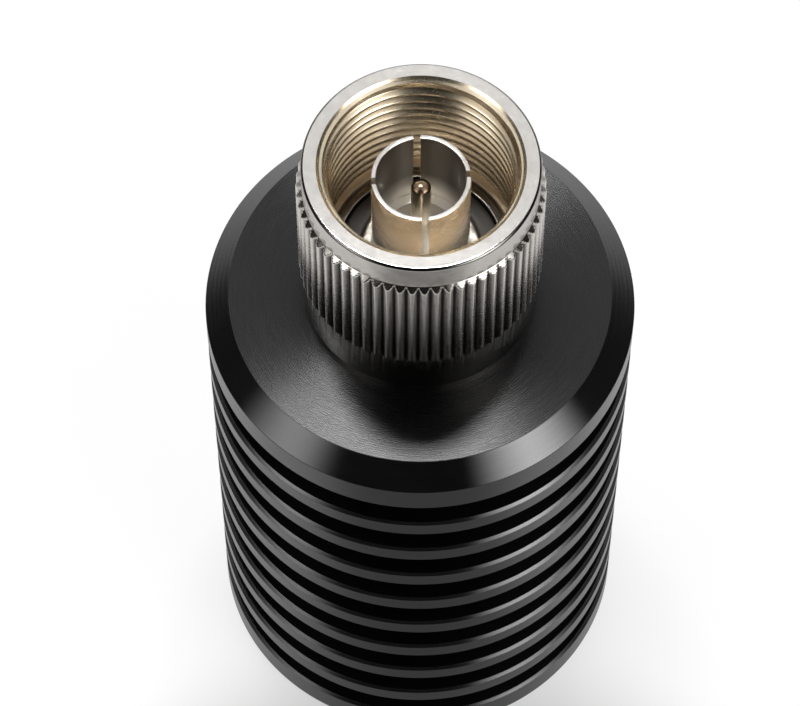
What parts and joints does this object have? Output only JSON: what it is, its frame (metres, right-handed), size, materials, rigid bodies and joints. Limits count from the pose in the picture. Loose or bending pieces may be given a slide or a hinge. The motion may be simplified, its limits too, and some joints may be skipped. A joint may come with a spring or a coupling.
{
  "type": "rf dummy load",
  "caption": "Round finned heat sink with a male coaxial plug on its front face: a knurled coupling nut round a slotted sleeve and a centre pin, with a load resistor inside.",
  "frame": {"origin": "centre of the heat sink's flat rear face, on which the part stands", "axes": "+Z along the plug's axis, out of the coupling nut; +Y is the side of the carrier's flat that the load resistor is on"},
  "size_m": [0.036, 0.036, 0.0707],
  "materials": {
    "black_anodised": "satin black anodising over fine turning marks",
    "nickel": "bright nickel plate on turned brass",
    "bronze": "thin white-bronze plate on turned bronze",
    "gold_plate": "thin gold plate",
    "steel": "plain spring and screw steel",
    "copper": "bare milled copper",
    "silver_plate": "silver-plated strip",
    "alumina": "unglazed white ceramic",
    "ptfe": "waxy white plastic",
    "black_rubber": "matt black rubber"
  },
  "bodies": {
    "load": {"heat_sink": "black_anodised", "plug_body": "nickel", "snap_ring": "steel", "mating_gasket": "black_rubber", "outer_contact": "bronze", "insulator": "ptfe", "centre_pin": "gold_plate", "resistor_carrier": "copper", "resistor_flange": "copper", "resistor_chip": "alumina", "resistor_lid": "alumina", "resistor_tab": "silver_plate", "mounting_screws": "steel", "mounting_washers": "steel"},
    "nut": {"coupling_nut": "nickel"}
  },
  "joints": [
    {"name": "nut_spin", "type": "hinge", "parent": "load", "child": "nut", "pos_m": [0, 0, 0.0612], "axis": [0, 0, 1], "continuous": true}
  ]
}
